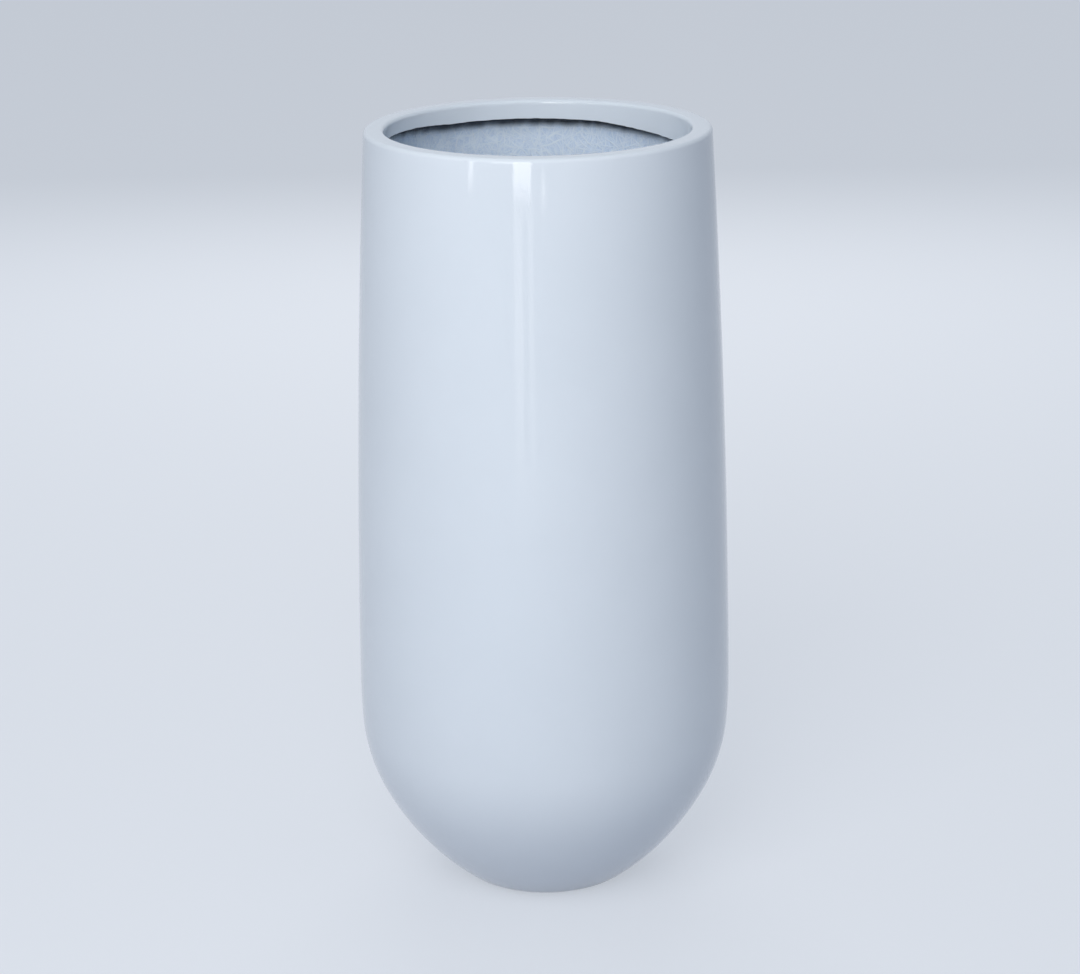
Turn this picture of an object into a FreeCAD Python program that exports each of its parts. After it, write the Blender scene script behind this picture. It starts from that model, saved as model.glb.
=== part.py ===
import FreeCAD, Part

import math
import os
from collections import namedtuple

# A tall planter in hand-laid glass fibre: a rounded bowl on a flat foot, a tall wall that leans
# in a little towards the top, and a flat rim whose lip turns down inside the mouth.
# All sizes are in millimetres and +Z is up. The origin is on the floor, under the middle of the foot.

# Overall form, measured on the outer face
overall_height = 800.0
rim_radius = 173.5
mouth_radius = 153.0
belly_radius = 195.0
belly_height = 215.0
foot_radius = 91.0

# How sharply the outline bends, from the foot up to the lip
foot_edge_bend = 14.0
shoulder_bend = 184.0
belly_bend = 680.0
rim_edge_bend = 4.5
lip_edge_bend = 4.0

# Slope of the outline where one bend hands over to the next: 90 degrees is upright
flank_top_slope = math.radians(63.0)
shoulder_top_slope = math.radians(86.6)
belly_top_slope = math.radians(90.7)

# Height at which the bowl's laminate is laid up to the foot's
foot_laminate_height = 40.0

# Thickness of each layer
coat_thickness = 1.0
laminate_thickness = 4.0
rim_thickness = 4.0
lip_thickness = 3.0

# The lip's lower edge is cut by hand in straight passes: (degrees round from +X, depth below the rim)
lip_cuts = [(27, 28.0), (47, 25.0), (66, 20.8), (97, 19.3), (126, 19.3), (143, 16.7), (168, 15.8),
            (205, 17.0), (243, 19.5), (282, 24.0), (318, 28.5), (352, 29.5)]
lip_blank_spare = 4.5
trim_clearance = 2.0
trim_overreach = 1.3

# Tape over the joint of bowl and wall, and the putty that holds the rim: how wide it spreads on
# each face, and how far its face is drawn in towards the corner
strip_width = 70.0
strip_thickness = 2.0
bead_leg = 6.0
bead_hollow = 0.25

# Disc that thickens the foot round the drain, and how far it stays inside the flat of the foot
disc_margin = 11.0
disc_thickness = 8.0
disc_bevel = 4.0

# Drain sleeve, whose flange spreads beyond its wall
sleeve_bore_radius = 12.5
sleeve_wall = 3.5
sleeve_flange_spread = 7.0
sleeve_flange_thickness = 2.5

# Drain plug: its stem fills the bore but for a clearance, and its head spreads over the flange
plug_clearance = 0.3
plug_stem_recess = 1.0
plug_head_spread = 6.5
plug_head_thickness = 4.0
plug_lead_in = 1.5
plug_edge_bend = 1.5
grip_neck_radius = 6.0
grip_neck_length = 12.0
grip_radius = 9.5
grip_thickness = 7.0

# Felt pads under the foot, and how far they stay inside its flat
pad_count = 4
pad_radius = 15.0
pad_thickness = 2.0
pad_margin = 1.5

foot_level = pad_thickness
laminate_depth = coat_thickness + laminate_thickness
floor_level = foot_level + laminate_depth
disc_top = floor_level + disc_thickness
collar_seat = overall_height - coat_thickness - rim_thickness
lip_blank_bottom = overall_height - max(depth for _, depth in lip_cuts) - lip_blank_spare
sleeve_radius = sleeve_bore_radius + sleeve_wall
sleeve_flange_radius = sleeve_radius + sleeve_flange_spread
sleeve_top = disc_top + sleeve_flange_thickness

# A bend is an arc of the outline in the plane Y = 0. The outline is followed from the foot up the
# wall and over the rim, so it always turns left, and a heading of 0 points away from the axis.
Bend = namedtuple("Bend", "r z radius start end")


def spot(r, z):
    return FreeCAD.Vector(r, 0, z)


def left_of(heading):
    return spot(-math.sin(heading), math.cos(heading))


def point_on(bend, heading, depth=0.0):
    # The outline's point with this heading, or the point that lies depth below it in the wall
    return spot(bend.r, bend.z) - left_of(heading) * (bend.radius - depth)


def heading_at(bend, z, depth=0.0):
    return math.acos((bend.z - z) / (bend.radius - depth))


def heading_towards(r, z, reach):
    return math.atan2(r / reach, -z / reach)


def bend_between(point, heading, far_point):
    # The bend that leaves point on this heading and passes through far_point
    chord = far_point - point
    radius = chord.dot(chord) / (2 * chord.dot(left_of(heading)))
    centre = point + left_of(heading) * radius
    far_heading = heading_towards(far_point.x - centre.x, far_point.z - centre.z, radius)
    return Bend(centre.x, centre.z, radius, min(heading, far_heading), max(heading, far_heading))


def corner_centre(bend, z, radius):
    # Centre, at height z, of a rounding that touches the inside of a larger bend, and its heading
    reach = bend.radius - radius
    across = math.copysign(math.sqrt(reach ** 2 - (z - bend.z) ** 2), reach)
    return bend.r + across, heading_towards(across, z - bend.z, reach)


def make_outline():
    # Bends of the outer face in order, with the wall's full height kept apart for the laminate
    belly = Bend(belly_radius - belly_bend, belly_height, belly_bend, shoulder_top_slope, belly_top_slope)
    shoulder_centre = point_on(belly, shoulder_top_slope) + left_of(shoulder_top_slope) * shoulder_bend
    shoulder = Bend(shoulder_centre.x, shoulder_centre.z, shoulder_bend, flank_top_slope, shoulder_top_slope)
    flank = bend_between(point_on(shoulder, flank_top_slope), flank_top_slope, spot(foot_radius, foot_level))
    wall = bend_between(point_on(belly, belly_top_slope), belly_top_slope, spot(rim_radius, overall_height))

    foot_edge_z = foot_level + foot_edge_bend
    foot_edge_r, foot_edge_end = corner_centre(flank, foot_edge_z, foot_edge_bend)
    foot_edge = Bend(foot_edge_r, foot_edge_z, foot_edge_bend, 0.0, foot_edge_end)

    rim_bend = min(rim_edge_bend, 0.9 * (coat_thickness + rim_thickness))
    rim_edge_r, rim_edge_start = corner_centre(wall, overall_height - rim_bend, rim_bend)
    rim_edge = Bend(rim_edge_r, overall_height - rim_bend, rim_bend, rim_edge_start, math.pi)
    lip_edge = Bend(mouth_radius + lip_edge_bend, overall_height - lip_edge_bend, lip_edge_bend,
                    math.pi, 1.5 * math.pi)

    body = [foot_edge, flank._replace(start=foot_edge_end), shoulder, belly, wall]
    whole = body[:-1] + [wall._replace(end=rim_edge_start), rim_edge, lip_edge]
    return body, whole


body_bends, whole_bends = make_outline()
wall_bend = body_bends[-1]
rim_bends = whole_bends[-2:]
foot_flat_radius = body_bends[0].r


def arc_edge(bend, depth):
    middle = (bend.start + bend.end) / 2
    ends = [point_on(bend, heading, depth) for heading in (bend.start, middle, bend.end)]
    return Part.Arc(*ends).toShape()


def follow(first, bends, last, depth):
    # Edges from the first point through the bends to the last, with straight runs between them
    edges = []
    here = first
    for bend in bends:
        start = point_on(bend, bend.start, depth)
        if here.distanceToPoint(start) > 1e-6:
            edges.append(Part.makeLine(here, start))
        edges.append(arc_edge(bend, depth))
        here = point_on(bend, bend.end, depth)
    if here.distanceToPoint(last) > 1e-6:
        edges.append(Part.makeLine(here, last))
    return edges


def turned(edges):
    # The solid swept by a closed outline turning once round the Z axis
    wire = Part.Wire(Part.sortEdges(edges)[0])
    return Part.Face(wire).revolve(spot(0, 0), spot(0, 1), 360)


def turned_polygon(corners):
    closed = corners + corners[:1]
    return turned([Part.makeLine(spot(*a), spot(*b)) for a, b in zip(closed, closed[1:])])


def disc(radius, bottom, top):
    return Part.makeCylinder(radius, top - bottom, spot(0, bottom))


def body_layer(depth, thickness, bottom, top):
    # One layer of the body between two heights, its outer face at depth below the outline
    outer_first = spot(0, foot_level + depth)
    inner_first = spot(0, foot_level + depth + thickness)
    outer_last = point_on(wall_bend, wall_bend.end, depth)
    inner_last = point_on(wall_bend, wall_bend.end, depth + thickness)
    edges = follow(outer_first, body_bends, outer_last, depth)
    edges += follow(inner_first, body_bends, inner_last, depth + thickness)
    edges += [Part.makeLine(outer_first, inner_first), Part.makeLine(outer_last, inner_last)]
    return turned(edges).common(disc(2 * belly_radius, bottom, top))


def drain_hole():
    return disc(sleeve_radius, 0, disc_top)


def lip_trim():
    # What the hand cuts take off the lip: a fan of flat facets round the axis, and all below it
    mean_cut = sum(depth for _, depth in lip_cuts) / len(lip_cuts)
    hub = FreeCAD.Vector(0, 0, overall_height - mean_cut)
    bottom = lip_blank_bottom - trim_clearance
    down = FreeCAD.Vector(0, 0, bottom - overall_height)
    outer = mouth_radius + coat_thickness + lip_thickness + trim_clearance
    reach = trim_overreach * outer / mouth_radius
    corners = []
    for azimuth, depth in lip_cuts:
        turn = math.radians(azimuth)
        at_lip = FreeCAD.Vector(mouth_radius * math.cos(turn), mouth_radius * math.sin(turn),
                                overall_height - depth)
        corners.append(hub + (at_lip - hub) * reach)

    facets = []
    for one, other in zip(corners, corners[1:] + corners[:1]):
        facet = Part.Face(Part.makePolygon([hub, one, other, hub]))
        facets.append(facet.extrude(down))
    fan = facets[0].fuse(facets[1:])
    return fan.common(disc(outer, bottom, overall_height))


def gloss_coat():
    # The white coat: under the foot, up the body, over the rim and down the lip
    first = spot(0, foot_level)
    inner_first = spot(0, foot_level + coat_thickness)
    last = spot(mouth_radius, lip_blank_bottom)
    inner_last = spot(mouth_radius + coat_thickness, lip_blank_bottom)
    edges = follow(first, whole_bends, last, 0.0)
    edges += follow(inner_first, whole_bends, inner_last, coat_thickness)
    edges += [Part.makeLine(first, inner_first), Part.makeLine(last, inner_last)]
    return turned(edges).cut([drain_hole(), lip_trim()])


def wall_laminate():
    return body_layer(coat_thickness, laminate_thickness, belly_height, collar_seat)


def bowl_laminate():
    return body_layer(coat_thickness, laminate_thickness, foot_laminate_height, belly_height)


def foot_laminate():
    # The flat of the foot and the flank that rises from it
    return body_layer(coat_thickness, laminate_thickness, 0, foot_laminate_height).cut(drain_hole())


def joint_strip():
    # Tape on the inner face, half on the bowl and half on the wall
    half = strip_width / 2
    return body_layer(laminate_depth, strip_thickness, belly_height - half, belly_height + half)


def rim_collar():
    # The flat rim and the lip under the coat, standing on the top edge of the wall
    seat_heading = heading_at(wall_bend, collar_seat, coat_thickness)
    wall_top = whole_bends[-3]._replace(start=seat_heading)
    seat = point_on(wall_top, seat_heading, coat_thickness)
    lip_face = mouth_radius + coat_thickness
    lip_back = lip_face + lip_thickness
    face_end = spot(lip_face, lip_blank_bottom)
    back_end = spot(lip_back, lip_blank_bottom)
    edges = follow(seat, [wall_top] + rim_bends, face_end, coat_thickness)
    corners = [face_end, back_end, spot(lip_back, collar_seat), seat]
    edges += [Part.makeLine(one, other) for one, other in zip(corners, corners[1:])]
    return turned(edges).cut(lip_trim())


def collar_bond_bead():
    # Putty in the corner between the wall's inner face and the underside of the rim, hollow-faced
    low_heading = heading_at(wall_bend, collar_seat - bead_leg, laminate_depth)
    top_heading = heading_at(wall_bend, collar_seat, laminate_depth)
    contact = wall_bend._replace(start=low_heading, end=top_heading)
    low = point_on(contact, low_heading, laminate_depth)
    corner = point_on(contact, top_heading, laminate_depth)
    tip = corner - spot(bead_leg, 0)
    middle = (low + tip) * 0.5
    hollow = middle + (corner - middle) * bead_hollow
    edges = [arc_edge(contact, laminate_depth), Part.makeLine(corner, tip)]
    edges.append(Part.Arc(tip, hollow, low).toShape())
    return turned(edges)


def base_disc():
    radius = foot_flat_radius - disc_margin
    profile = [(0, floor_level), (radius, floor_level), (radius, disc_top - disc_bevel),
               (radius - disc_bevel, disc_top), (0, disc_top)]
    return turned_polygon(profile).cut(drain_hole())


def drain_bushing():
    # A sleeve through the foot, whose flange lies on the disc
    profile = [(sleeve_bore_radius, foot_level), (sleeve_radius, foot_level), (sleeve_radius, disc_top),
               (sleeve_flange_radius, disc_top), (sleeve_flange_radius, sleeve_top),
               (sleeve_bore_radius, sleeve_top)]
    return turned_polygon(profile)


def drain_plug():
    # A plug with a flat head and a grip like a mushroom, seated just clear of the sleeve
    stem_radius = sleeve_bore_radius - plug_clearance
    stem_low = foot_level + plug_stem_recess
    head_radius = sleeve_bore_radius + plug_head_spread
    head_low = sleeve_top + plug_clearance
    head_top = head_low + plug_head_thickness
    grip_low = head_top + grip_neck_length
    grip_top = grip_low + grip_thickness
    profile = [(0, stem_low), (stem_radius - plug_lead_in, stem_low), (stem_radius, stem_low + plug_lead_in),
               (stem_radius, head_low), (head_radius, head_low), (head_radius, head_top),
               (grip_neck_radius, head_top), (grip_neck_radius, grip_low), (grip_radius, grip_low),
               (grip_radius, grip_top), (0, grip_top)]
    plug = turned_polygon(profile)
    rims = [(head_radius, head_top), (grip_radius, grip_low), (grip_radius, grip_top)]
    edges = [edge for edge in plug.Edges if any(is_circle(edge, *rim) for rim in rims)]
    return plug.makeFillet(plug_edge_bend, edges)


def is_circle(edge, radius, z):
    # True for a full circle of this radius round the Z axis at this height
    curve = edge.Curve
    if not isinstance(curve, Part.Circle):
        return False
    return abs(curve.Radius - radius) < 1e-6 and abs(curve.Center.z - z) < 1e-6


def foot_pad(number):
    turn = math.radians(360.0 / pad_count * (number - 0.5))
    reach = foot_flat_radius - pad_margin - pad_radius
    centre = FreeCAD.Vector(reach * math.cos(turn), reach * math.sin(turn), 0)
    return Part.makeCylinder(pad_radius, pad_thickness, centre)


def make_parts():
    parts = {
        "gloss_coat": gloss_coat(),
        "wall_laminate": wall_laminate(),
        "bowl_laminate": bowl_laminate(),
        "foot_laminate": foot_laminate(),
        "joint_strip": joint_strip(),
        "rim_collar": rim_collar(),
        "collar_bond_bead": collar_bond_bead(),
        "base_disc": base_disc(),
        "drain_bushing": drain_bushing(),
        "drain_plug": drain_plug(),
    }
    for number in range(1, pad_count + 1):
        parts[f"foot_pad_{number}"] = foot_pad(number)
    return parts


os.makedirs("parts", exist_ok=True)
for name, shape in make_parts().items():
    shape.exportStep(f"parts/{name}.step")
    box = shape.BoundBox
    print(f"{name:18s} {shape.ShapeType:9s} solids {len(shape.Solids)} valid {shape.isValid()} "
          f"volume {shape.Volume / 1000:8.1f} cm3  z {box.ZMin:7.2f} to {box.ZMax:7.2f}")
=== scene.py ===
import math
from collections import namedtuple

import bpy
import numpy as np
from mathutils import Matrix, Vector


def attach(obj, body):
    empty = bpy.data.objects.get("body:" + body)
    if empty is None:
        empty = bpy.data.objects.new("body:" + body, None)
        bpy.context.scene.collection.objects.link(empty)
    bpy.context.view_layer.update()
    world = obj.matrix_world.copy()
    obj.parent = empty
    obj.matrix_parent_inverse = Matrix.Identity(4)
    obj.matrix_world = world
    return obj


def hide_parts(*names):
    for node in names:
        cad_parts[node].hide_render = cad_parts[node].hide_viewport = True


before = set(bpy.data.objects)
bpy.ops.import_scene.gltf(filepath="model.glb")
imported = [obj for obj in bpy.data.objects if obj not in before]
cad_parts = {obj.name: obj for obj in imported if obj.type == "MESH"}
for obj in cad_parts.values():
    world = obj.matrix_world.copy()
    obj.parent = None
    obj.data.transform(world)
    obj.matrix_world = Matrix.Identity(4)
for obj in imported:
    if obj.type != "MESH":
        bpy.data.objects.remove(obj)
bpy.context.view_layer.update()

# A tall planter in hand-laid glass fibre. The gloss-white skin, the raw glass-mat inside and the loose
# strands in its resin are built here; the hidden fittings keep their CAD shape and get finished materials.
# Everything is in metres, +Z up, with the origin on the floor under the middle of the foot.

# Overall form, measured on the outer face
OVERALL_HEIGHT = 0.8
RIM_RADIUS = 0.1735
MOUTH_RADIUS = 0.153
BELLY_RADIUS = 0.195
BELLY_HEIGHT = 0.215
FOOT_RADIUS = 0.091
FOOT_LEVEL = 0.002

# How sharply the outline bends, from the foot up to the lip, and its slope where the bends meet
FOOT_EDGE_BEND = 0.014
SHOULDER_BEND = 0.184
BELLY_BEND = 0.68
RIM_EDGE_BEND = 0.0045
LIP_EDGE_BEND = 0.004
SMALL_BEND = 0.02
FLANK_TOP_SLOPE = math.radians(63.0)
SHOULDER_TOP_SLOPE = math.radians(86.6)
BELLY_TOP_SLOPE = math.radians(90.7)

# Layers
COAT_THICKNESS = 0.001
LAMINATE_THICKNESS = 0.004
INSIDE_DEPTH = COAT_THICKNESS + LAMINATE_THICKNESS
COLLAR_SEAT = 0.795
TAPE_WIDTH = 0.07
TAPE_THICKNESS = 0.002
DISC_RADIUS = 0.0752
DISC_BOTTOM = 0.007
DISC_TOP = 0.015
DISC_BEVEL = 0.004
DISC_SEAT = 0.009
DRAIN_RADIUS = 0.016

# The lip's lower edge is cut by hand: (degrees round from +X, depth below the rim)
LIP_CUTS = [(27, 0.0280), (47, 0.0250), (66, 0.0208), (97, 0.0193), (126, 0.0193), (143, 0.0167),
            (168, 0.0158), (205, 0.0170), (243, 0.0195), (282, 0.0240), (318, 0.0285), (352, 0.0295)]

# How finely the meshes are cut
SKIN_SIDES = 280
SKIN_STEP = 0.0058
MAT_SIDES = 400
MAT_STEP = 0.003
DISC_STEP = 0.002
FINE_STEP = 0.0005
FOOT_SKIPPED = 0.05
EDGE_STEPS = 8
LIP_ROWS = 6

# Uneven surfaces: how deep they are, and their shortest and longest waves. Each field has a spread of 1.
# A lift is added before a field is cut off at 0, so that little of it is lost.
WAVE_DEPTH, WAVE_LENGTHS = 0.00004, (0.09, 0.5)
RIPPLE_DEPTH, RIPPLE_LENGTHS = 0.000004, (0.03, 0.08)
SKIN_LIFT = 2.5
SKIN_WAVES_BEGIN = (0.004, 0.03)
SKIN_WAVES_END = (0.68, 0.79)
CUT_ROUGHNESS, CUT_LENGTHS = 0.00012, (0.008, 0.05)
RELIEF = 0.00022
SOFT_SHARE, SOFT_LENGTHS = 0.6, (0.012, 0.06)
FINE_SHARE, FINE_LENGTHS = 0.4, (0.006, 0.012)
RELIEF_LIFT = 1.2
RELIEF_END = (0.78, 0.787)
TAPE_WANDER, TAPE_EDGE_LENGTHS = 0.002, (0.02, 0.2)
TAPE_RELIEF, TAPE_RELIEF_LENGTHS = 0.00012, (0.008, 0.04)
TAPE_EDGE_PART, TAPE_MIDDLE_PART = 0.3, 0.6
TAPE_THINNING = 0.14
TAPE_LIMIT = 2
DISC_RELIEF, DISC_RELIEF_LENGTHS = 0.00025, (0.007, 0.03)
DISC_LIFT = 1.5
DISC_FLAT_END = (0.007, 0.012)
DISC_PLAIN_END = 0.001
HIGHEST = 3

# Painted shade under the lip: how far below the lip's edge it is at its darkest, and how far further down it
# fades out
LIP_SHADE_DROP = 0.005
LIP_SHADE_FADE = 0.009
LIP_SHADE_RAGGED, LIP_SHADE_LENGTHS = 0.0004, (0.01, 0.08)
LIP_SHADE_FALLOFF = 1.3

# Loose strands: size of each, how it bends per metre, and how deep its root lies in the resin
STRAND_LENGTH = (0.018, 0.045)
STRAND_WIDTH = (0.00025, 0.00065)
STRAND_HEIGHT = (0.00008, 0.0003)
STRAND_CURVE = 22.0
STRAND_STEPS = 9
STRAND_ROOT = 0.0003
STRAND_END_DIP = 0.00012
STRAND_END = 0.06
STRAND_BLUNTNESS = 0.35
SMALLEST_TURN = 0.02

# Where they lie: heights, and how far from the girth the wall and bowl leave the tape clear
STRANDS_BOTTOM, STRANDS_TOP = 0.012, 0.789
WALL_OVERLAP = (0.49, 0.51)
TAPE_CLEAR, TAPE_REACH = 0.03, 0.029
TAPE_FACE = 0.9
DISC_STRANDS_START, DISC_POINTS = 0.03, 20
DISC_STRANDS_RISE = -0.0002

# Colours
WHITE_LOW = (0.680, 0.738, 0.792)
WHITE_HIGH = (0.700, 0.758, 0.812)
# Painted shade under the lip, near black
LIP_SHADE_COLOUR = (0.030, 0.038, 0.050)
RESIN_DARK = (0.60, 0.73, 0.89)
RESIN_MIDDLE = (0.69, 0.80, 0.935)
GLASS_PALE = (0.79, 0.88, 0.965)
GLASS_BRIGHT = (0.94, 0.96, 0.98)
PUTTY_DARK = (0.46, 0.46, 0.42)
PUTTY_PALE = (0.66, 0.66, 0.62)
PLASTIC_DARK = (0.10, 0.108, 0.115)
PLASTIC_PALE = (0.145, 0.152, 0.16)
RUBBER_DARK = (0.018, 0.018, 0.019)
RUBBER_PALE = (0.05, 0.05, 0.051)
FELT_DARK = (0.14, 0.135, 0.13)
FELT_PALE = (0.34, 0.33, 0.32)

GLOSS_ROUGHNESS = (0.045, 0.075)

# The mat's painted-over strands: directions, size of a streak, and how they sway
MAT_DIRECTIONS = 7
MAT_STREAK = (0.032, 0.0021, 1)
MAT_SHIFT = (0.37, 0.91)
MAT_FIRST_TURN = 0.3
MAT_CONTRAST = (0.52, 0.78)
MAT_SWAY, MAT_SWAY_SCALE = 0.014, 30.0

# Studio. FLOOR_PAINT is what the floor throws back on the object; FLOOR_SEEN, FLOOR_GLOW and BACKDROP
# are what the camera and the gloss see.
FLOOR_SIZE = 60.0
FLOOR_PAINT = (0.44, 0.47, 0.54)
FLOOR_SEEN = (0.30, 0.31, 0.325)
FLOOR_GLOW = (0.44, 0.468, 0.512)
BACKDROP = (0.62, 0.66, 0.73)
AMBIENT = (0.86, 0.945, 1.09)
AMBIENT_STRENGTH = 0.40
DAY_LIGHT = (1.0, 0.985, 0.97)

# Upright lamps: azimuth (0 is the camera's side of the pot, 90 its right), width in degrees as seen from
# the pot, lower and upper edge, and brightness
UPRIGHT_DISTANCE = 3.5
MIDDLE_LAMP = (-10.0, 11.4, 0.472, 3.2, 4.7)
SIDE_LAMPS = {
    "strip_left": (-42.5, 3.2, 0.48, 3.0, 3.4),
    "strip_right": (3.0, 2.2, 0.462, 0.52, 3.2),
    "panel_left": (-22.0, 15.0, 1.0, 2.7, 3.2),
}

# Two narrow streaks that fade towards the floor: azimuth, width in degrees, and brightness gained at
# each of the levels
STREAK_DISTANCE = 1.5
STREAK_LEVELS = (0.05, 0.13, 0.21, 0.29, 0.37, 0.62)
STREAKS = {"streak_left": (-12.3, 5.0, 0.23), "streak_right": (-4.9, 3.2, 0.19)}

# Soft lamps: azimuth, elevation above the rim, width, height, and brightness
OVERHEAD_DISTANCE = 3.2
OVERHEAD_AIM = 0.75 * OVERALL_HEIGHT
OVERHEAD_LAMPS = {
    "soft_front": (-15.0, 39.0, 2.3, 1.6, 3.65),
    "soft_back": (180.0, 20.0, 2.6, 1.6, 3.2),
    "soft_above": (0.0, 90.0, 1.3, 1.3, 0.5),
}

CAMERA_PLACE = (0.0, -2.61618, 1.27199)
CAMERA_SENSOR = 36.0
CAMERA_LENS = 88.333
CAMERA_YAW = 0.0524
CAMERA_PITCH = 17.9862
CAMERA_ROLL = -0.7513

TWO_PI = 2 * math.pi

Bend = namedtuple("Bend", "r z radius start end")


# ---------------------------------------------------------------- outline


def point_on(bend, heading, depth=0.0):
    reach = bend.radius - depth
    return np.array([bend.r + reach * math.sin(heading), bend.z - reach * math.cos(heading)])


def heading_towards(r, z, reach):
    return math.atan2(r / reach, -z / reach)


def left_of(heading):
    return np.array([-math.sin(heading), math.cos(heading)])


def bend_between(point, heading, far_point):
    # The bend that leaves point on this heading and passes through far_point
    left = left_of(heading)
    chord = far_point - point
    radius = chord.dot(chord) / (2 * chord.dot(left))
    centre = point + left * radius
    far_heading = heading_towards(*(far_point - centre), radius)
    return Bend(centre[0], centre[1], radius, min(heading, far_heading), max(heading, far_heading))


def corner_centre(bend, z, radius):
    # Centre, at height z, of a rounding that touches the inside of a larger bend, and its heading
    reach = bend.radius - radius
    across = math.copysign(math.sqrt(reach ** 2 - (z - bend.z) ** 2), reach)
    return bend.r + across, heading_towards(across, z - bend.z, reach)


def make_outline():
    """The bends of the body from foot to rim, and those of the whole outline with its rim and lip."""
    belly = Bend(BELLY_RADIUS - BELLY_BEND, BELLY_HEIGHT, BELLY_BEND, SHOULDER_TOP_SLOPE, BELLY_TOP_SLOPE)
    top = SHOULDER_TOP_SLOPE
    shoulder_at = point_on(belly, top) + left_of(top) * SHOULDER_BEND
    shoulder = Bend(shoulder_at[0], shoulder_at[1], SHOULDER_BEND, FLANK_TOP_SLOPE, top)
    foot = np.array([FOOT_RADIUS, FOOT_LEVEL])
    flank = bend_between(point_on(shoulder, FLANK_TOP_SLOPE), FLANK_TOP_SLOPE, foot)
    rim = np.array([RIM_RADIUS, OVERALL_HEIGHT])
    wall = bend_between(point_on(belly, BELLY_TOP_SLOPE), BELLY_TOP_SLOPE, rim)
    foot_z = FOOT_LEVEL + FOOT_EDGE_BEND
    foot_r, foot_end = corner_centre(flank, foot_z, FOOT_EDGE_BEND)
    foot_edge = Bend(foot_r, foot_z, FOOT_EDGE_BEND, 0.0, foot_end)
    rim_z = OVERALL_HEIGHT - RIM_EDGE_BEND
    rim_r, rim_start = corner_centre(wall, rim_z, RIM_EDGE_BEND)
    rim_edge = Bend(rim_r, rim_z, RIM_EDGE_BEND, rim_start, math.pi)
    lip_edge = Bend(MOUTH_RADIUS + LIP_EDGE_BEND, OVERALL_HEIGHT - LIP_EDGE_BEND, LIP_EDGE_BEND,
                    math.pi, 1.5 * math.pi)
    body = [foot_edge, flank._replace(start=foot_end), shoulder, belly, wall]
    whole = body[:-1] + [wall._replace(end=rim_start), rim_edge, lip_edge]
    return body, whole


BODY_BENDS, WHOLE_BENDS = make_outline()


def run(start, end, step):
    # Points after start, up to and with end, about a step apart
    count = max(1, round(float(np.linalg.norm(end - start)) / step))
    return [start + (end - start) * k / count for k in range(1, count + 1)]


def follow(first, bends, depth, step):
    # Points from first through the bends, at this depth below the outline
    points = [np.array(first)]
    for bend in bends:
        start = point_on(bend, bend.start, depth)
        if np.linalg.norm(start - points[-1]) > 1e-6:
            points += run(points[-1], start, step)
        length = abs(bend.radius - depth) * (bend.end - bend.start)
        count = max(EDGE_STEPS if bend.radius < SMALL_BEND else 1, round(length / step))
        turns = np.linspace(bend.start, bend.end, count + 1)[1:]
        points += [point_on(bend, turn, depth) for turn in turns]
    return np.array(points)


def arc_lengths(points):
    return np.r_[0, np.cumsum(np.linalg.norm(np.diff(points, axis=0), axis=1))]


def normals_of(points):
    # Unit normals to the left of a profile, as (r, z)
    ahead = np.gradient(points, axis=0)
    ahead /= np.linalg.norm(ahead, axis=1)[:, None]
    return np.c_[-ahead[:, 1], ahead[:, 0]]


def body_face(depth, bottom, top, step):
    """The part of the body's face at this depth that lies between two heights, outwards and upwards. It
    has the flat of the foot only if it starts there."""
    foot = FOOT_LEVEL + depth
    points = follow((0.0, foot), BODY_BENDS, depth, FINE_STEP)
    if bottom > foot:
        points = points[points[:, 0] > FOOT_SKIPPED]
    lengths = arc_lengths(points)
    order = np.argsort(points[:, 1], kind="stable")
    heights, lengths_at = points[order, 1], lengths[order]
    first = np.interp(bottom, heights, lengths_at) if bottom > points[0, 1] else 0.0
    last = np.interp(top, heights, lengths_at)
    count = max(2, round((last - first) / step))
    at = np.linspace(first, last, count + 1)
    return np.c_[np.interp(at, lengths, points[:, 0]), np.interp(at, lengths, points[:, 1])]


# ---------------------------------------------------------------- uneven surfaces


def smooth_noise(seed, azimuths, along, wave_lengths, waves, reach):
    """A field with unit spread over azimuth and length along the profile, without a seam. reach is the
    surface's usual radius, and wave_lengths are its shortest and longest."""
    shortest, longest = wave_lengths
    draw = np.random.default_rng(seed)
    field = np.zeros(np.broadcast(azimuths, along).shape)
    for _ in range(waves):
        length = 1 / draw.uniform(1 / longest, 1 / shortest)
        tilt = draw.uniform(0, TWO_PI)
        round_waves = round(TWO_PI * reach * math.cos(tilt) / length)
        field += np.cos(round_waves * azimuths + TWO_PI * math.sin(tilt) / length * along
                        + draw.uniform(0, TWO_PI))
    return field * math.sqrt(2 / waves)


def fade(value, low, high):
    part = np.clip((value - low) / (high - low), 0, 1)
    return part * part * (3 - 2 * part)


def azimuth_row(sides):
    return np.arange(sides) * TWO_PI / sides


def lip_bottom(azimuths):
    """Height of the lip's lower edge: flat facets between the cuts, as seen on the lip's face."""
    hub = OVERALL_HEIGHT - sum(depth for _, depth in LIP_CUTS) / len(LIP_CUTS)
    angles = np.radians([cut[0] for cut in LIP_CUTS])
    rises = OVERALL_HEIGHT - np.array([cut[1] for cut in LIP_CUTS]) - hub
    turned = (azimuths - angles[0]) % TWO_PI + angles[0]
    k = np.searchsorted(angles, turned, side="right") - 1
    following = (k + 1) % len(angles)
    before, after = angles[k], angles[following] + (following == 0) * TWO_PI
    share = rises[k] * np.sin(after - turned) + rises[following] * np.sin(turned - before)
    return hub + share / np.sin(after - before)


# ---------------------------------------------------------------- meshes


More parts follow.
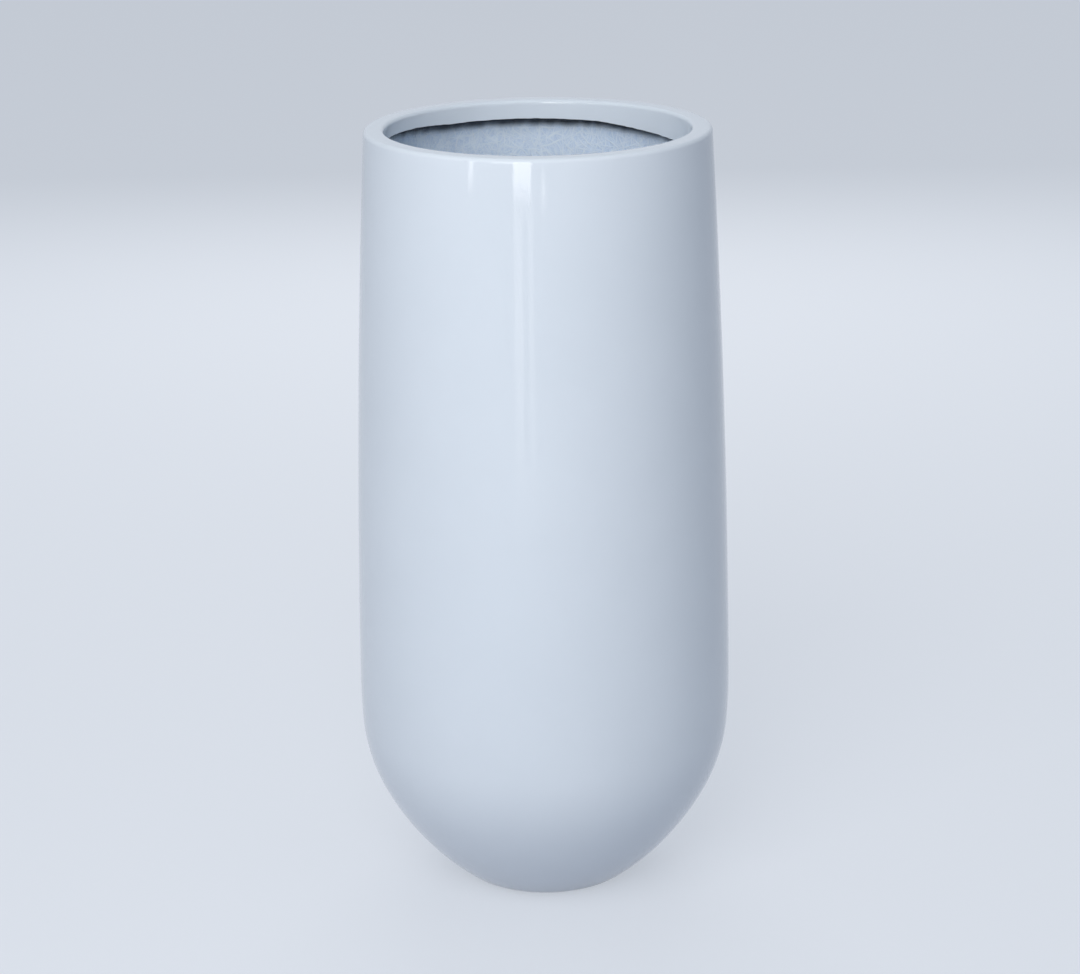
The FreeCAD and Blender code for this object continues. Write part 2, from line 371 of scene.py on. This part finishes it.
def new_object(name, vertices, faces):
    mesh = bpy.data.meshes.new(name)
    mesh.vertices.add(len(vertices))
    mesh.vertices.foreach_set("co", np.asarray(vertices, np.float32).ravel())
    mesh.loops.add(faces.size)
    mesh.loops.foreach_set("vertex_index", faces.astype(np.int32).ravel())
    mesh.polygons.add(len(faces))
    mesh.polygons.foreach_set("loop_start", np.arange(0, faces.size, faces.shape[1], dtype=np.int32))
    mesh.update(calc_edges=True)
    mesh.validate()
    mesh.polygons.foreach_set("use_smooth", np.ones(len(mesh.polygons), bool))
    made = bpy.data.objects.new(name, mesh)
    bpy.context.scene.collection.objects.link(made)
    return made


def set_attribute(made, name, values):
    attribute = made.data.attributes.new(name, "FLOAT", "POINT")
    attribute.data.foreach_set("value", values.astype(np.float32).ravel())


def ring_solid(name, radii, heights, azimuths, smooth_angle):
    """A closed ring from a profile that turns round the Z axis. radii and heights have a row for each
    point of the closed profile, which runs with the material on its left, and a column for each azimuth."""
    rows, sides = radii.shape
    vertices = np.stack([radii * np.cos(azimuths), radii * np.sin(azimuths), heights], axis=2)
    i, j = np.meshgrid(np.arange(rows), np.arange(sides), indexing="ij")
    down, across = (i + 1) % rows, (j + 1) % sides
    faces = np.stack([i * sides + j, i * sides + across, down * sides + across, down * sides + j], axis=2)
    made = new_object(name, vertices.reshape(-1, 3), faces.reshape(-1, 4))
    made.data.set_sharp_from_angle(angle=math.radians(smooth_angle))
    return made


def repeated(column, sides):
    # A profile's column of radii or heights, the same at every azimuth
    return np.repeat(column[:, None], sides, axis=1)


def build_skin():
    """The white coat: one thin skin under the foot, up the body, over the rim and down the lip."""
    azimuths = azimuth_row(SKIN_SIDES)
    outer = follow((DRAIN_RADIUS, FOOT_LEVEL), WHOLE_BENDS, 0.0, SKIN_STEP)
    inner = follow((DRAIN_RADIUS, FOOT_LEVEL + COAT_THICKNESS), WHOLE_BENDS, COAT_THICKNESS, 2 * SKIN_STEP)
    inward = normals_of(outer)
    along = arc_lengths(outer)[:, None]
    waves = smooth_noise(11, azimuths, along, WAVE_LENGTHS, 60, BELLY_RADIUS)
    ripples = smooth_noise(12, azimuths, along, RIPPLE_LENGTHS, 60, BELLY_RADIUS)
    depth = WAVE_DEPTH * (SKIN_LIFT + waves) + RIPPLE_DEPTH * (SKIN_LIFT + ripples)
    depth = np.clip(depth, 0, COAT_THICKNESS / 2) * fade(outer[:, 1:], *SKIN_WAVES_BEGIN)
    depth = depth * (1 - fade(outer[:, 1:], *SKIN_WAVES_END))
    roughness = smooth_noise(13, azimuths, 0.0, CUT_LENGTHS, 40, MOUTH_RADIUS)
    edge = lip_bottom(azimuths) + CUT_ROUGHNESS * roughness
    lip_top = outer[-1, 1]
    down = np.linspace(0, 1, LIP_ROWS + 1)[1:, None]
    lip = lip_top + (edge - lip_top) * down
    radii = np.concatenate([
        outer[:, :1] + inward[:, :1] * depth,
        np.full(lip.shape, MOUTH_RADIUS),
        np.full((1, SKIN_SIDES), MOUTH_RADIUS + COAT_THICKNESS),
        repeated(inner[::-1, 0], SKIN_SIDES),
    ])
    heights = np.concatenate([
        outer[:, 1:] + inward[:, 1:] * depth,
        lip,
        edge[None, :],
        repeated(inner[::-1, 1], SKIN_SIDES),
    ])
    return ring_solid("gloss_skin", radii, heights, azimuths, 40.0)


def mark_lip_shade(made, azimuths, heights):
    """Painted shade under the lip: full behind the lip and just below its edge, fading out in an uneven line
    further down.
    """
    ragged = LIP_SHADE_RAGGED * smooth_noise(14, azimuths, 0.0, LIP_SHADE_LENGTHS, 40, RIM_RADIUS)
    edge = lip_bottom(azimuths) - LIP_SHADE_DROP + ragged
    set_attribute(made, "lip_shade_mask", fade(heights, edge - LIP_SHADE_FADE, edge) ** LIP_SHADE_FALLOFF)


def build_laminate(name, bottom, top, seed):
    """A layer of raw laminate whose inner face has the soft relief of mat under a brush."""
    azimuths = azimuth_row(MAT_SIDES)
    outer = body_face(COAT_THICKNESS, bottom, top, 4 * MAT_STEP)
    inner = body_face(INSIDE_DEPTH, max(bottom, FOOT_LEVEL + INSIDE_DEPTH), top, MAT_STEP)
    if bottom < FOOT_LEVEL + INSIDE_DEPTH:
        outer = outer[outer[:, 0] > DRAIN_RADIUS + MAT_STEP]
        inner = inner[inner[:, 0] > DRAIN_RADIUS + MAT_STEP]
        outer = np.r_[[[DRAIN_RADIUS, FOOT_LEVEL + COAT_THICKNESS]], outer]
        inner = np.r_[[[DRAIN_RADIUS, FOOT_LEVEL + INSIDE_DEPTH]], inner]
    along = arc_lengths(inner)[:, None]
    relief = SOFT_SHARE * smooth_noise(seed, azimuths, along, SOFT_LENGTHS, 90, RIM_RADIUS)
    relief += FINE_SHARE * smooth_noise(seed + 1, azimuths, along, FINE_LENGTHS, 90, RIM_RADIUS)
    rise = RELIEF * np.clip(RELIEF_LIFT + relief, 0, HIGHEST)
    rise = rise * (1 - fade(inner[:, 1:], *RELIEF_END))
    inward = normals_of(inner)
    inner_r = inner[:, :1] + inward[:, :1] * rise
    inner_z = inner[:, 1:] + inward[:, 1:] * rise
    radii = np.concatenate([repeated(outer[:, 0], MAT_SIDES), inner_r[::-1]])
    heights = np.concatenate([repeated(outer[:, 1], MAT_SIDES), inner_z[::-1]])
    made = ring_solid(name, radii, heights, azimuths, 50.0)
    # marks where the painted shade under the lip goes
    mark_lip_shade(made, azimuths, heights)
    return made


def tape_edge(seed, azimuths):
    # How far in from its full width one edge of the tape lies
    wander = smooth_noise(seed, azimuths, 0.0, TAPE_EDGE_LENGTHS, 40, BELLY_RADIUS)
    return TAPE_WANDER * np.clip(1 + 0.5 * wander, 0, HIGHEST)


def build_tape():
    """Glass tape over the joint of bowl and wall, thinner towards its wandering edges."""
    azimuths = azimuth_row(MAT_SIDES)
    low, high = BELLY_HEIGHT - TAPE_WIDTH / 2, BELLY_HEIGHT + TAPE_WIDTH / 2
    face = body_face(INSIDE_DEPTH, low, high, MAT_STEP / 2)
    share = np.linspace(0, 1, len(face))[:, None]
    low_edge, high_edge = tape_edge(31, azimuths), tape_edge(32, azimuths)
    at = low_edge / TAPE_WIDTH + share * (1 - (low_edge + high_edge) / TAPE_WIDTH)
    base_r = np.interp(at, share[:, 0], face[:, 0])
    base_z = np.interp(at, share[:, 0], face[:, 1])
    middle = fade(share, 0, TAPE_THINNING) * (1 - fade(share, 1 - TAPE_THINNING, 1))
    relief = smooth_noise(33, azimuths, at * TAPE_WIDTH, TAPE_RELIEF_LENGTHS, 120, BELLY_RADIUS)
    thick = TAPE_THICKNESS * (TAPE_EDGE_PART + TAPE_MIDDLE_PART * middle)
    thick = thick + TAPE_RELIEF * np.clip(relief, -TAPE_LIMIT, TAPE_LIMIT)
    inward = normals_of(face)
    inner_r = base_r + inward[:, :1] * thick
    inner_z = base_z + inward[:, 1:] * thick
    radii = np.concatenate([base_r, inner_r[::-1]])
    heights = np.concatenate([base_z, inner_z[::-1]])
    return ring_solid("joint_tape", radii, heights, azimuths, 60.0)


def build_disc():
    """The laminate disc round the drain, with a softened edge and the mat's relief on top. It stays flat
    under the sleeve's flange, and plain where it meets the foot."""
    azimuths = azimuth_row(MAT_SIDES // 2)
    corners = np.array([(DRAIN_RADIUS, DISC_BOTTOM), (DISC_RADIUS, DISC_BOTTOM),
                        (DISC_RADIUS, DISC_TOP - DISC_BEVEL), (DISC_RADIUS - DISC_BEVEL, DISC_TOP),
                        (DRAIN_RADIUS + DISC_SEAT, DISC_TOP), (DRAIN_RADIUS, DISC_TOP)])
    points = [corners[0]]
    for start, end in zip(corners, corners[1:]):
        points += run(start, end, DISC_STEP)
    points = np.array(points)
    along = arc_lengths(points)[:, None]
    flat_start, flat_end = DISC_FLAT_END
    free = fade(points[:, :1], DRAIN_RADIUS + flat_start, DRAIN_RADIUS + flat_end)
    free = free * fade(points[:, 1:], DISC_BOTTOM + DISC_PLAIN_END, DISC_TOP - DISC_BEVEL)
    relief = smooth_noise(41, azimuths, along, DISC_RELIEF_LENGTHS, 90, DISC_RADIUS)
    sink = DISC_RELIEF * np.clip(DISC_LIFT + relief, 0, HIGHEST) * free
    inward = normals_of(points)
    radii = points[:, :1] + inward[:, :1] * sink
    heights = points[:, 1:] + inward[:, 1:] * sink
    return ring_solid("drain_disc", radii, heights, azimuths, 55.0)


def strand_points(spot, azimuth, along, sideways, lift):
    # The spots on a turned face, moved along its profile, round the axis and off the face
    radius, height, normal_r, normal_z = spot
    angle = azimuth + sideways / np.maximum(radius, SMALLEST_TURN)
    out = radius + normal_z * along + normal_r * lift
    up = height - normal_r * along + normal_z * lift
    return np.stack([out * np.cos(angle), out * np.sin(angle), up], axis=1)


def strand_faces(count):
    # Each strand is a three-sided bar: ridge, left foot and right foot at every step along it
    quads = []
    for step in range(STRAND_STEPS):
        for one, other in ((0, 1), (1, 2), (2, 0)):
            a, b = step * 3 + one, step * 3 + other
            quads.append((a, b, b + 3, a + 3))
    starts = np.arange(count) * (STRAND_STEPS + 1) * 3
    return (starts[:, None, None] + np.array(quads)[None]).reshape(-1, 4)


def build_strands(name, face, count, seed, rise):
    """Strands of glass, each a low ridge bedded in the resin, laid at random on a face inside the pot.
    The face is a profile with the hollow on its left, and rise is the resin's height above it."""
    draw = np.random.default_rng(seed)
    lengths = arc_lengths(face)
    columns = np.c_[face, normals_of(face)].T
    share = np.cumsum(face[:, 0])
    at = np.interp(draw.uniform(0, share[-1], count), share, lengths)
    azimuth = draw.uniform(0, TWO_PI, count)
    heading = draw.uniform(0, TWO_PI, count)
    curve = draw.normal(0, STRAND_CURVE, count)
    pace = draw.uniform(*STRAND_LENGTH, count) / STRAND_STEPS
    half_width = draw.uniform(*STRAND_WIDTH, count) / 2
    high = draw.uniform(*STRAND_HEIGHT, count)
    tone = draw.uniform(0, 1, count)
    root = rise - STRAND_ROOT
    bars = []
    for step in range(STRAND_STEPS + 1):
        spot = [np.interp(at, lengths, column) for column in columns]
        done = STRAND_END + (1 - 2 * STRAND_END) * step / STRAND_STEPS
        taper = math.sin(math.pi * done) ** STRAND_BLUNTNESS
        half = half_width * taper
        ridge = rise + high * taper - STRAND_END_DIP * (step in (0, STRAND_STEPS))
        along, sideways = np.cos(heading) * half, -np.sin(heading) * half
        bars.append(np.stack([
            strand_points(spot, azimuth, 0, 0, ridge),
            strand_points(spot, azimuth, along, sideways, root),
            strand_points(spot, azimuth, -along, -sideways, root),
        ], axis=1))
        at = at + np.sin(heading) * pace
        azimuth = azimuth + np.cos(heading) * pace / np.maximum(spot[0], SMALLEST_TURN)
        heading = heading + curve * pace
        # A strand that would leave the face turns back
        heading = np.where((at >= 0) & (at <= lengths[-1]), heading, -heading)
        at = np.clip(at, 0, lengths[-1])

    vertices = np.stack(bars, axis=1).reshape(-1, 3)
    made = new_object(name, vertices, strand_faces(count))
    set_attribute(made, "tone", np.repeat(tone, len(vertices) // count))
    # marks where the painted shade under the lip goes
    mark_lip_shade(made, np.arctan2(vertices[:, 1], vertices[:, 0]), vertices[:, 2])
    return made


# ---------------------------------------------------------------- materials


class Nodes:
    """Short names for building a material's nodes."""

    def __init__(self, name):
        self.material = bpy.data.materials.new(name)
        self.material.use_nodes = True
        self.tree = self.material.node_tree
        self.shader = self.tree.nodes["Principled BSDF"]
        self.coordinates = self.add("ShaderNodeTexCoord").outputs["Object"]

    def add(self, kind, **settings):
        node = self.tree.nodes.new(kind)
        for key, value in settings.items():
            setattr(node, key, value)
        return node

    def link(self, source, target):
        self.tree.links.new(source, target)

    def noise(self, scale, detail=3.0, roughness=0.5, stretch=None, turn=(0, 0, 0)):
        node = self.add("ShaderNodeTexNoise")
        node.inputs["Scale"].default_value = scale
        node.inputs["Detail"].default_value = detail
        node.inputs["Roughness"].default_value = roughness
        source = self.coordinates
        if stretch is not None:
            mapping = self.add("ShaderNodeMapping")
            mapping.inputs["Scale"].default_value = stretch
            mapping.inputs["Rotation"].default_value = turn
            self.link(source, mapping.inputs["Vector"])
            source = mapping.outputs["Vector"]
        self.link(source, node.inputs["Vector"])
        return node.outputs["Fac"]

    def cells(self, scale):
        node = self.add("ShaderNodeTexVoronoi")
        node.inputs["Scale"].default_value = scale
        self.link(self.coordinates, node.inputs["Vector"])
        return node.outputs["Distance"]

    def face_lengths(self, flat):
        """Pairs of lengths across and along a level face, or across and up the turned wall. The wall has
        two pairs, whose seams lie on opposite sides."""
        parts = self.add("ShaderNodeSeparateXYZ")
        self.link(self.coordinates, parts.inputs["Vector"])
        x, y, z = parts.outputs
        if flat:
            return [(x, y)]
        squares = self.maths("ADD", self.maths("MULTIPLY", x, x), self.maths("MULTIPLY", y, y))
        up = self.maths("ADD", z, self.maths("SQRT", squares, 0))
        turn = self.maths("ARCTAN2", y, x)
        opposite = self.maths("ARCTAN2", self.maths("MULTIPLY", y, -1.0), self.maths("MULTIPLY", x, -1.0))
        return [(self.maths("MULTIPLY", angle, BELLY_RADIUS), up) for angle in (turn, opposite)]

    def sway(self):
        node = self.add("ShaderNodeTexNoise")
        node.inputs["Scale"].default_value = MAT_SWAY_SCALE
        node.inputs["Detail"].default_value = 1.0
        self.link(self.coordinates, node.inputs["Vector"])
        smaller = self.add("ShaderNodeVectorMath", operation="SCALE")
        smaller.inputs["Scale"].default_value = MAT_SWAY
        self.link(node.outputs["Color"], smaller.inputs[0])
        return smaller.outputs[0]

    def streaks(self, across, along, sway, number):
        # Thin streaks in one direction
        joined = self.add("ShaderNodeCombineXYZ")
        self.link(across, joined.inputs["X"])
        self.link(along, joined.inputs["Y"])
        moved = self.add("ShaderNodeVectorMath", operation="ADD")
        self.link(joined.outputs[0], moved.inputs[0])
        self.link(sway, moved.inputs[1])
        mapping = self.add("ShaderNodeMapping", vector_type="TEXTURE")
        mapping.inputs["Location"].default_value = (*[part * number for part in MAT_SHIFT], 0)
        mapping.inputs["Rotation"].default_value = (0, 0, math.pi * (number + MAT_FIRST_TURN) / MAT_DIRECTIONS)
        mapping.inputs["Scale"].default_value = MAT_STREAK
        self.link(moved.outputs[0], mapping.inputs["Vector"])
        node = self.add("ShaderNodeTexNoise", noise_dimensions="2D")
        node.inputs["Scale"].default_value = 1.0
        node.inputs["Detail"].default_value = 1.0
        self.link(mapping.outputs["Vector"], node.inputs["Vector"])
        return self.spread(node.outputs["Fac"], *MAT_CONTRAST, 0.0, 1.0)

    def strands(self, flat):
        """Thin curved strands in several directions over the turned wall, or over a level face."""
        pairs = self.face_lengths(flat)
        sway = self.sway()
        total = None
        for number in range(MAT_DIRECTIONS):
            across, along = pairs[number % len(pairs)]
            one = self.streaks(across, along, sway, number)
            total = one if total is None else self.maths("MAXIMUM", total, one)
        return total

    def spread(self, value, low, high, to_low, to_high):
        node = self.add("ShaderNodeMapRange")
        for key, number in (("From Min", low), ("From Max", high), ("To Min", to_low), ("To Max", to_high)):
            node.inputs[key].default_value = number
        self.link(value, node.inputs["Value"])
        return node.outputs["Result"]

    def maths(self, operation, one, other):
        node = self.add("ShaderNodeMath", operation=operation)
        for socket, value in zip(node.inputs, (one, other)):
            if isinstance(value, (int, float)):
                socket.default_value = value
            else:
                self.link(value, socket)
        return node.outputs[0]

    def colours(self, value, *stops):
        node = self.add("ShaderNodeValToRGB")
        ramp = node.color_ramp
        while len(ramp.elements) < len(stops):
            ramp.elements.new(0.5)
        for element, (position, colour) in zip(ramp.elements, stops):
            element.position = position
            element.color = (*colour, 1.0)
        self.link(value, node.inputs["Fac"])
        return node.outputs["Color"]

    def mix_in_lip_shade(self, painted):
        # The laminate's colour, going over to painted shade under the lip where the mesh marks it
        lip_shade_mask = self.add("ShaderNodeAttribute", attribute_name="lip_shade_mask").outputs["Fac"]
        mix = self.add("ShaderNodeMix", data_type="RGBA")
        mix.inputs["B"].default_value = (*LIP_SHADE_COLOUR, 1.0)
        self.link(lip_shade_mask, mix.inputs["Factor"])
        self.link(painted, mix.inputs["A"])
        return mix.outputs["Result"]

    def bump(self, height, distance, strength=1.0, under=None):
        node = self.add("ShaderNodeBump")
        node.inputs["Distance"].default_value = distance
        node.inputs["Strength"].default_value = strength
        self.link(height, node.inputs["Height"])
        if under is not None:
            self.link(under, node.inputs["Normal"])
        return node.outputs["Normal"]

    def set(self, **values):
        for key, value in values.items():
            socket = self.shader.inputs[key.replace("_", " ")]
            if hasattr(value, "is_output"):
                self.link(value, socket)
            else:
                socket.default_value = value
        return self.material


def gloss_white():
    """Sprayed and polished white: a faint cloudiness, a trace of orange peel under a hard gloss."""
    n = Nodes("gloss_white")
    cloud = n.noise(9.0, 4.0)
    colour = n.colours(cloud, (0.3, WHITE_LOW), (0.7, WHITE_HIGH))
    haze = n.spread(n.noise(23.0, 3.0), 0.3, 0.7, *GLOSS_ROUGHNESS)
    peel = n.bump(n.noise(420.0, 2.0), 0.00002)
    peel = n.bump(n.noise(60.0, 1.0), 0.00005, under=peel)
    return n.set(Base_Color=colour, Roughness=haze, Normal=peel, IOR=1.5)


def glass_laminate(name, flat=False):
    """Raw grey laminate: chopped glass strands lying every way in resin, paler where they come up to
    the surface. The strands follow the turned wall, or a level face where flat is set."""
    n = Nodes(name)
    crossing = n.strands(flat)
    patches = n.noise(14.0, 4.0, 0.6)
    value = n.maths("ADD", n.maths("MULTIPLY", patches, 0.55), n.maths("MULTIPLY", crossing, 0.45))
    painted = n.colours(value, (0.20, RESIN_DARK), (0.40, RESIN_MIDDLE), (0.66, GLASS_PALE))
    # painted shade under the lip over the laminate's colour
    colour = n.mix_in_lip_shade(painted)
    wet = n.spread(n.noise(40.0, 3.0), 0.35, 0.65, 0.30, 0.55)
    relief = n.bump(crossing, 0.00035)
    relief = n.bump(n.noise(260.0, 4.0, 0.6), 0.0009, 0.6, under=relief)
    return n.set(Base_Color=colour, Roughness=wet, Normal=relief, IOR=1.52)


def glass_strand():
    """Single strands: each its own paleness, smoother than the resin, so that some catch the light."""
    n = Nodes("glass_strand")
    tone = n.add("ShaderNodeAttribute", attribute_name="tone").outputs["Fac"]
    fleck = n.maths("MULTIPLY", n.noise(240.0, 3.0), 0.4)
    value = n.maths("ADD", n.maths("MULTIPLY", tone, 0.6), fleck)
    painted = n.colours(value, (0.3, RESIN_DARK), (0.6, RESIN_MIDDLE), (0.77, GLASS_PALE),
                        (0.83, GLASS_BRIGHT))
    # painted shade under the lip over the strands' colour
    colour = n.mix_in_lip_shade(painted)
    shine = n.spread(tone, 0, 1, 0.45, 0.2)
    grain = n.bump(n.noise(900.0, 2.0), 0.00008)
    return n.set(Base_Color=colour, Roughness=shine, Normal=grain, IOR=1.55)


def resin_putty():
    n = Nodes("resin_putty")
    blot = n.noise(55.0, 4.0, 0.6)
    colour = n.colours(blot, (0.3, PUTTY_DARK), (0.7, PUTTY_PALE))
    smear = n.bump(n.noise(120.0, 3.0, 0.5, (1.0, 1.0, 6.0)), 0.0006)
    return n.set(Base_Color=colour, Roughness=n.spread(blot, 0.3, 0.7, 0.45, 0.7), Normal=smear)


def sleeve_plastic():
    n = Nodes("sleeve_plastic")
    mottle = n.noise(80.0, 3.0)
    colour = n.colours(mottle, (0.3, PLASTIC_DARK), (0.7, PLASTIC_PALE))
    grain = n.bump(n.noise(1500.0, 3.0, 0.7), 0.00005)
    grain = n.bump(n.noise(90.0, 2.0, 0.5, (1.0, 1.0, 12.0)), 0.00008, under=grain)
    return n.set(Base_Color=colour, Roughness=n.spread(mottle, 0.3, 0.7, 0.36, 0.5), Normal=grain)


def plug_rubber():
    n = Nodes("plug_rubber")
    bloom = n.noise(60.0, 5.0, 0.65)
    colour = n.colours(bloom, (0.35, RUBBER_DARK), (0.75, RUBBER_PALE))
    skin = n.bump(n.noise(2200.0, 2.0), 0.00004)
    skin = n.bump(n.cells(700.0), 0.00003, 0.6, under=skin)
    return n.set(Base_Color=colour, Roughness=n.spread(bloom, 0.3, 0.75, 0.55, 0.8), Normal=skin)


def pad_felt():
    n = Nodes("pad_felt")
    hair = n.noise(700.0, 6.0, 0.75, (1.0, 0.35, 1.0), (0.3, 0.2, 0.7))
    flock = n.noise(160.0, 4.0)
    value = n.maths("ADD", n.maths("MULTIPLY", hair, 0.6), n.maths("MULTIPLY", flock, 0.4))
    colour = n.colours(value, (0.35, FELT_DARK), (0.65, FELT_PALE))
    nap = n.bump(hair, 0.0005)
    return n.set(Base_Color=colour, Roughness=0.95, Normal=nap, Sheen_Weight=0.35, Sheen_Roughness=0.6)


def paint(shown, material):
    shown.data.materials.clear()
    shown.data.materials.append(material)


# ---------------------------------------------------------------- the object


def built(made, slot, material, *nodes):
    paint(made, material)
    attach(made, "planter")
    if nodes:
        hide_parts(*nodes)


def build_layers(laminate):
    """The pieces that take the place of CAD nodes."""
    level_laminate = glass_laminate("level_laminate", flat=True)
    built(build_skin(), "gloss_white", gloss_white(), "gloss_coat")
    wall = build_laminate("wall_mat", BELLY_HEIGHT, COLLAR_SEAT, 21)
    bowl = build_laminate("bowl_mat", FOOT_LEVEL + COAT_THICKNESS, BELLY_HEIGHT, 24)
    built(wall, "glass_laminate", laminate, "wall_laminate")
    built(bowl, "glass_laminate", laminate, "bowl_laminate", "foot_laminate")
    built(build_tape(), "glass_laminate", laminate, "joint_strip")
    built(build_disc(), "glass_laminate", level_laminate, "base_disc")


def build_loose_strands():
    """The strands on each face of the inside. The two parts of the wall overlap, so that no line shows
    between them."""
    strand = glass_strand()
    rise = RELIEF * RELIEF_LIFT
    overlap_low, overlap_high = WALL_OVERLAP
    low_wall = body_face(INSIDE_DEPTH, BELLY_HEIGHT + TAPE_CLEAR, overlap_high, MAT_STEP)
    high_wall = body_face(INSIDE_DEPTH, overlap_low, STRANDS_TOP, MAT_STEP)
    bowl = body_face(INSIDE_DEPTH, STRANDS_BOTTOM, BELLY_HEIGHT - TAPE_CLEAR, MAT_STEP)
    tape_depth = INSIDE_DEPTH + TAPE_FACE * TAPE_THICKNESS
    tape = body_face(tape_depth, BELLY_HEIGHT - TAPE_REACH, BELLY_HEIGHT + TAPE_REACH, MAT_STEP)
    disc_radii = np.linspace(DISC_STRANDS_START, DISC_RADIUS - DISC_BEVEL, DISC_POINTS)
    disc = np.array([(radius, DISC_TOP) for radius in disc_radii])
    built(build_strands("low_wall_strands", low_wall, 2900, 50, rise), "glass_laminate", strand)
    built(build_strands("high_wall_strands", high_wall, 3400, 51, rise), "glass_laminate", strand)
    built(build_strands("bowl_strands", bowl, 1700, 52, rise), "glass_laminate", strand)
    built(build_strands("tape_strands", tape, 700, 53, 0.0), "glass_laminate", strand)
    built(build_strands("disc_strands", disc, 260, 54, DISC_STRANDS_RISE), "glass_laminate", strand)


def build_object():
    laminate = glass_laminate("glass_laminate")
    build_layers(laminate)
    build_loose_strands()
    kept = {
        "rim_collar": laminate,
        "collar_bond_bead": resin_putty(),
        "drain_bushing": sleeve_plastic(),
        "drain_plug": plug_rubber(),
    }
    kept.update(dict.fromkeys([f"foot_pad_{number}" for number in range(1, 5)], pad_felt()))
    for node, material in kept.items():
        paint(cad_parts[node], material)


# ---------------------------------------------------------------- studio


def seen_directly(tree):
    # 1 for what the camera sees itself, in gloss or through glass, 0 for the light that is given off
    path = tree.nodes.new("ShaderNodeLightPath")
    shown = path.outputs["Is Camera Ray"]
    for ray in ("Is Glossy Ray", "Is Transmission Ray"):
        larger = tree.nodes.new("ShaderNodeMath")
        larger.operation = "MAXIMUM"
        tree.links.new(shown, larger.inputs[0])
        tree.links.new(path.outputs[ray], larger.inputs[1])
        shown = larger.outputs[0]
    return shown


def build_floor():
    half = FLOOR_SIZE / 2
    corners = np.array([(-half, -half, 0), (half, -half, 0), (half, half, 0), (-half, half, 0)])
    floor = new_object("studio_floor", corners, np.array([[0, 1, 2, 3]]))
    n = Nodes("studio_floor")
    shown = seen_directly(n.tree)
    colour = n.colours(shown, (0.0, FLOOR_PAINT), (1.0, FLOOR_SEEN))
    glow = n.colours(shown, (0.0, (0, 0, 0)), (1.0, FLOOR_GLOW))
    n.set(Base_Color=colour, Emission_Color=glow, Emission_Strength=1.0)
    paint(floor, n.set(Roughness=0.9, Specular_IOR_Level=0.0))


def build_world():
    world = bpy.data.worlds.new("studio")
    world.use_nodes = True
    tree = world.node_tree
    background = tree.nodes["Background"]
    mix = tree.nodes.new("ShaderNodeMix")
    mix.data_type = "RGBA"
    mix.inputs["A"].default_value = (*[AMBIENT_STRENGTH * part for part in AMBIENT], 1.0)
    mix.inputs["B"].default_value = (*BACKDROP, 1.0)
    tree.links.new(seen_directly(tree), mix.inputs["Factor"])
    tree.links.new(mix.outputs["Result"], background.inputs["Color"])
    background.inputs["Strength"].default_value = 1.0
    bpy.context.scene.world = world


def lamp(name, place, aim, width, height, radiance):
    """A rectangular lamp at place that faces aim, of an even brightness in which white would be 1."""
    data = bpy.data.lights.new(name, "AREA")
    data.shape = "RECTANGLE"
    data.size, data.size_y = width, height
    data.energy = radiance * math.pi * width * height
    data.color = DAY_LIGHT
    placed = bpy.data.objects.new(name, data)
    placed.location = place
    placed.rotation_mode = "QUATERNION"
    placed.rotation_quaternion = (Vector(aim) - Vector(place)).to_track_quat("-Z", "Y")
    placed.visible_camera = False
    bpy.context.scene.collection.objects.link(placed)
    return placed


def upright_lamp(name, azimuth, spread, low, high, radiance, distance=UPRIGHT_DISTANCE):
    turn = math.radians(azimuth)
    middle = (low + high) / 2
    place = (distance * math.sin(turn), -distance * math.cos(turn), middle)
    width = 2 * distance * math.tan(math.radians(spread / 2))
    lamp(name, place, (0, 0, middle), width, high - low, radiance)


def streak_lamps():
    for step, (low, high) in enumerate(zip(STREAK_LEVELS, STREAK_LEVELS[1:]), 1):
        for name, (azimuth, spread, gain) in STREAKS.items():
            upright_lamp(f"{name}_{step}", azimuth, spread, low, high, gain * step, STREAK_DISTANCE)


def overhead_lamp(name, azimuth, elevation, width, height, radiance):
    """A broad soft lamp above the rim, which leaves no image of itself in the gloss."""
    turn, lift = math.radians(azimuth), math.radians(elevation)
    level = OVERHEAD_DISTANCE * math.cos(lift)
    rise = OVERALL_HEIGHT + OVERHEAD_DISTANCE * math.sin(lift)
    place = (level * math.sin(turn), -level * math.cos(turn), rise)
    placed = lamp(name, place, (0, 0, OVERHEAD_AIM), width, height, radiance)
    placed.visible_glossy = False


def build_lamps():
    upright_lamp("strip_middle", *MIDDLE_LAMP)
    streak_lamps()
    for name, values in SIDE_LAMPS.items():
        upright_lamp(name, *values)
    for name, values in OVERHEAD_LAMPS.items():
        overhead_lamp(name, *values)


def build_camera():
    """The photograph's camera: a long lens, above the rim, looking down."""
    data = bpy.data.cameras.new("camera")
    data.sensor_width = CAMERA_SENSOR
    data.lens = CAMERA_LENS
    camera = bpy.data.objects.new("camera", data)
    yaw = Matrix.Rotation(math.radians(CAMERA_YAW), 4, "Z")
    pitch = Matrix.Rotation(math.radians(90.0 - CAMERA_PITCH), 4, "X")
    roll = Matrix.Rotation(math.radians(CAMERA_ROLL), 4, "Z")
    camera.matrix_world = Matrix.Translation(CAMERA_PLACE) @ yaw @ pitch @ roll
    bpy.context.scene.collection.objects.link(camera)
    bpy.context.scene.camera = camera


build_object()
build_floor()
build_world()
build_lamps()
build_camera()
bpy.context.scene.view_settings.view_transform = "Standard"
